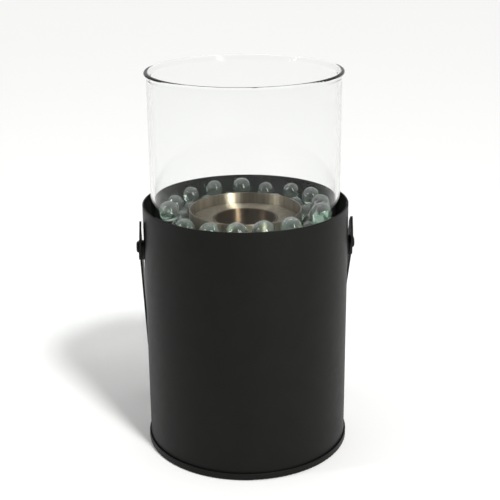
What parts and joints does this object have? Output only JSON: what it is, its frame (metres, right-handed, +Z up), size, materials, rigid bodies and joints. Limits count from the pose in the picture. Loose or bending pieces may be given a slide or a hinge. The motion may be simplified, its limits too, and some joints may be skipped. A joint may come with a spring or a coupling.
{
  "type": "portable gas lantern heater",
  "caption": "Table-top gas flame heater: black steel drum with carrying handle, clear glass tube and glass stones round a stainless burner.",
  "frame": {"origin": "on the ground, at the centre of the underside of the base mat", "axes": "+Z up, -Y front, +Y back (control knob side), +X to the right when seen from the front"},
  "size_m": [0.1718, 0.1784, 0.3025],
  "materials": {
    "powder_black": "satin powder coat",
    "stainless": "brushed, warm from heat",
    "zinc": "zinc plated",
    "brass": "turned",
    "rubber_black": "matt",
    "clear_glass": "clear",
    "green_glass": "clear with a green tint",
    "can_paint": "semi-gloss",
    "knob_plastic": "matt"
  },
  "bodies": {
    "housing": {"catch_studs": "zinc", "housing_shell": "powder_black", "burner_deck": "powder_black", "glass_gasket": "rubber_black", "burner_ring": "stainless", "burner_dish": "stainless", "burner_well": "stainless", "flame_plate": "stainless", "mixing_tube": "stainless", "gas_can": "can_paint", "valve_seal": "rubber_black", "valve_body": "brass", "valve_strap": "zinc", "valve_nut": "brass", "gas_jet": "brass", "strap_screws": "zinc", "strap_nuts": "zinc", "gland_nut": "brass", "spindle_bush": "knob_plastic", "pivot_spacers": "knob_plastic", "pivot_washers": "powder_black", "pivot_screws": "powder_black", "pivot_nuts": "zinc", "glass_stones": "green_glass"},
    "base": {"base_mat": "rubber_black", "base_pan": "powder_black", "bayonet_clips": "zinc", "can_pad": "rubber_black"},
    "glass": {"glass_tube": "clear_glass"},
    "handle": {"handle_bail": "powder_black"},
    "knob": {"control_knob": "knob_plastic", "valve_spindle": "zinc"}
  },
  "joints": [
    {"name": "handle_swing", "type": "hinge", "parent": "housing", "child": "handle", "pos_m": [0, 0, 0.1645], "axis": [1, 0, 0], "range_deg": [0, 295]},
    {"name": "knob_turn", "type": "hinge", "parent": "housing", "child": "knob", "pos_m": [0, 0.09, 0.1052], "axis": [0, 1, 0], "range_deg": [0, 270]},
    {"name": "glass_lift", "type": "slide", "parent": "housing", "child": "glass", "axis": [0, 0, 1], "range_m": [0, 0.13]},
    {"name": "base_twist", "type": "hinge", "parent": "housing", "child": "base", "pos_m": [0, 0, 0.003], "axis": [0, 0, 1], "range_deg": [0, 15]}
  ]
}
